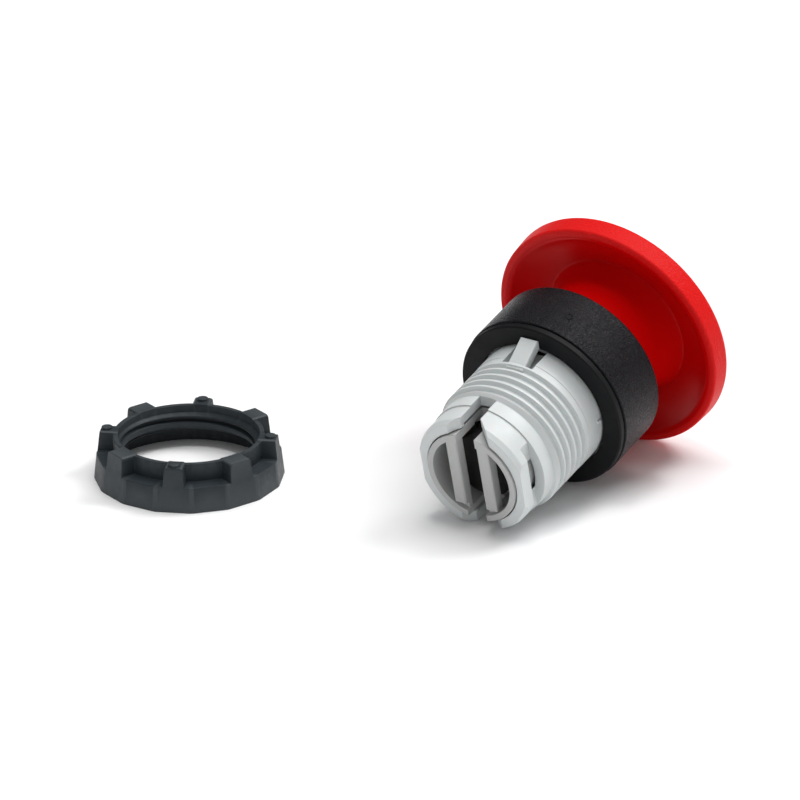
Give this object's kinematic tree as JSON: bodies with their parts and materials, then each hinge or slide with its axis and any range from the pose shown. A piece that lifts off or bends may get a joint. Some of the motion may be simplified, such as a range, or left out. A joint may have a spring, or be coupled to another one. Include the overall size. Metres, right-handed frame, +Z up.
{
  "type": "emergency stop button",
  "caption": "Red mushroom emergency stop button with black bezel, threaded barrel and separate lugged mounting nut, lying on its side.",
  "frame": {"origin": "under the middle of the whole part's box, on the surface it lies on", "axes": "+Z up from that surface, +X from the button towards the loose nut, the cap's front faces -Y and tips up 14.4 degrees"},
  "size_m": [0.0838, 0.0694, 0.0392],
  "materials": {
    "bezel_black": "fine sand-textured moulded plastic",
    "gasket_rubber": "smooth black rubber",
    "barrel_grey": "light grey glass-filled plastic",
    "plunger_grey": "light grey moulded plastic",
    "base_black": "black moulded plastic",
    "seal_rubber": "black rubber",
    "acetal_white": "natural white acetal",
    "spring_steel": "bright drawn spring steel",
    "steel": "turned and ground steel",
    "cap_red": "signal red plastic, smooth below and finely textured at the rim",
    "cap_face_red": "signal red plastic",
    "arrow_white": "white inlaid plastic",
    "nut_grey": "dark grey glass-filled plastic"
  },
  "bodies": {
    "housing": {"bezel_ring": "bezel_black", "panel_gasket": "gasket_rubber", "threaded_barrel": "barrel_grey", "wiper_seal": "seal_rubber", "guide_bush": "acetal_white", "stem_seal": "seal_rubber", "latch_block": "acetal_white", "retaining_ring": "spring_steel", "return_spring": "spring_steel", "latch_spring_left": "spring_steel", "latch_spring_right": "spring_steel"},
    "plunger": {"plunger": "plunger_grey", "plunger_base": "base_black", "actuator_stem": "steel", "latch_cam": "acetal_white", "cam_pin": "steel", "spring_collar": "steel", "stem_clip": "spring_steel"},
    "cap": {"mushroom_cap": "cap_red", "cap_face": "cap_face_red", "release_arrows": "arrow_white", "stem_bearing": "acetal_white", "twist_spring": "spring_steel"},
    "pin_left": {"latch_pin_left": "steel"},
    "pin_right": {"latch_pin_right": "steel"},
    "nut": {"mounting_nut": "nut_grey"}
  },
  "joints": [
    {"name": "press", "type": "slide", "parent": "housing", "child": "plunger", "axis": [0, 0.9686, -0.2487], "range_m": [0, 0.0045], "stiffness_N_per_m": 2500, "springref_m": -0.002, "deforming": ["return_spring"]},
    {"name": "twist", "type": "hinge", "parent": "plunger", "child": "cap", "pos_m": [-0.02197, -0.00597, 0.01422], "axis": [0, 0.9686, -0.2487], "range_deg": [0, 45], "stiffness_Nm_per_rad": 0.06, "springref_deg": -11.46, "deforming": ["twist_spring"]},
    {"name": "pin_left_slide", "type": "slide", "parent": "housing", "child": "pin_left", "axis": [1, 0, 0], "range_m": [0, 0.0007], "deforming": ["latch_spring_left"]},
    {"name": "pin_right_slide", "type": "slide", "parent": "housing", "child": "pin_right", "axis": [-1, 0, 0], "range_m": [0, 0.0007], "deforming": ["latch_spring_right"]},
    {"name": "nut_lift", "type": "slide", "parent": "housing", "child": "nut", "axis": [0, 0, 1], "range_m": [0, 0.04]}
  ],
  "couplings": [
    {"joint": "pin_left_slide", "follows": "press", "ratio": 0.15556},
    {"joint": "pin_right_slide", "follows": "press", "ratio": 0.15556}
  ]
}
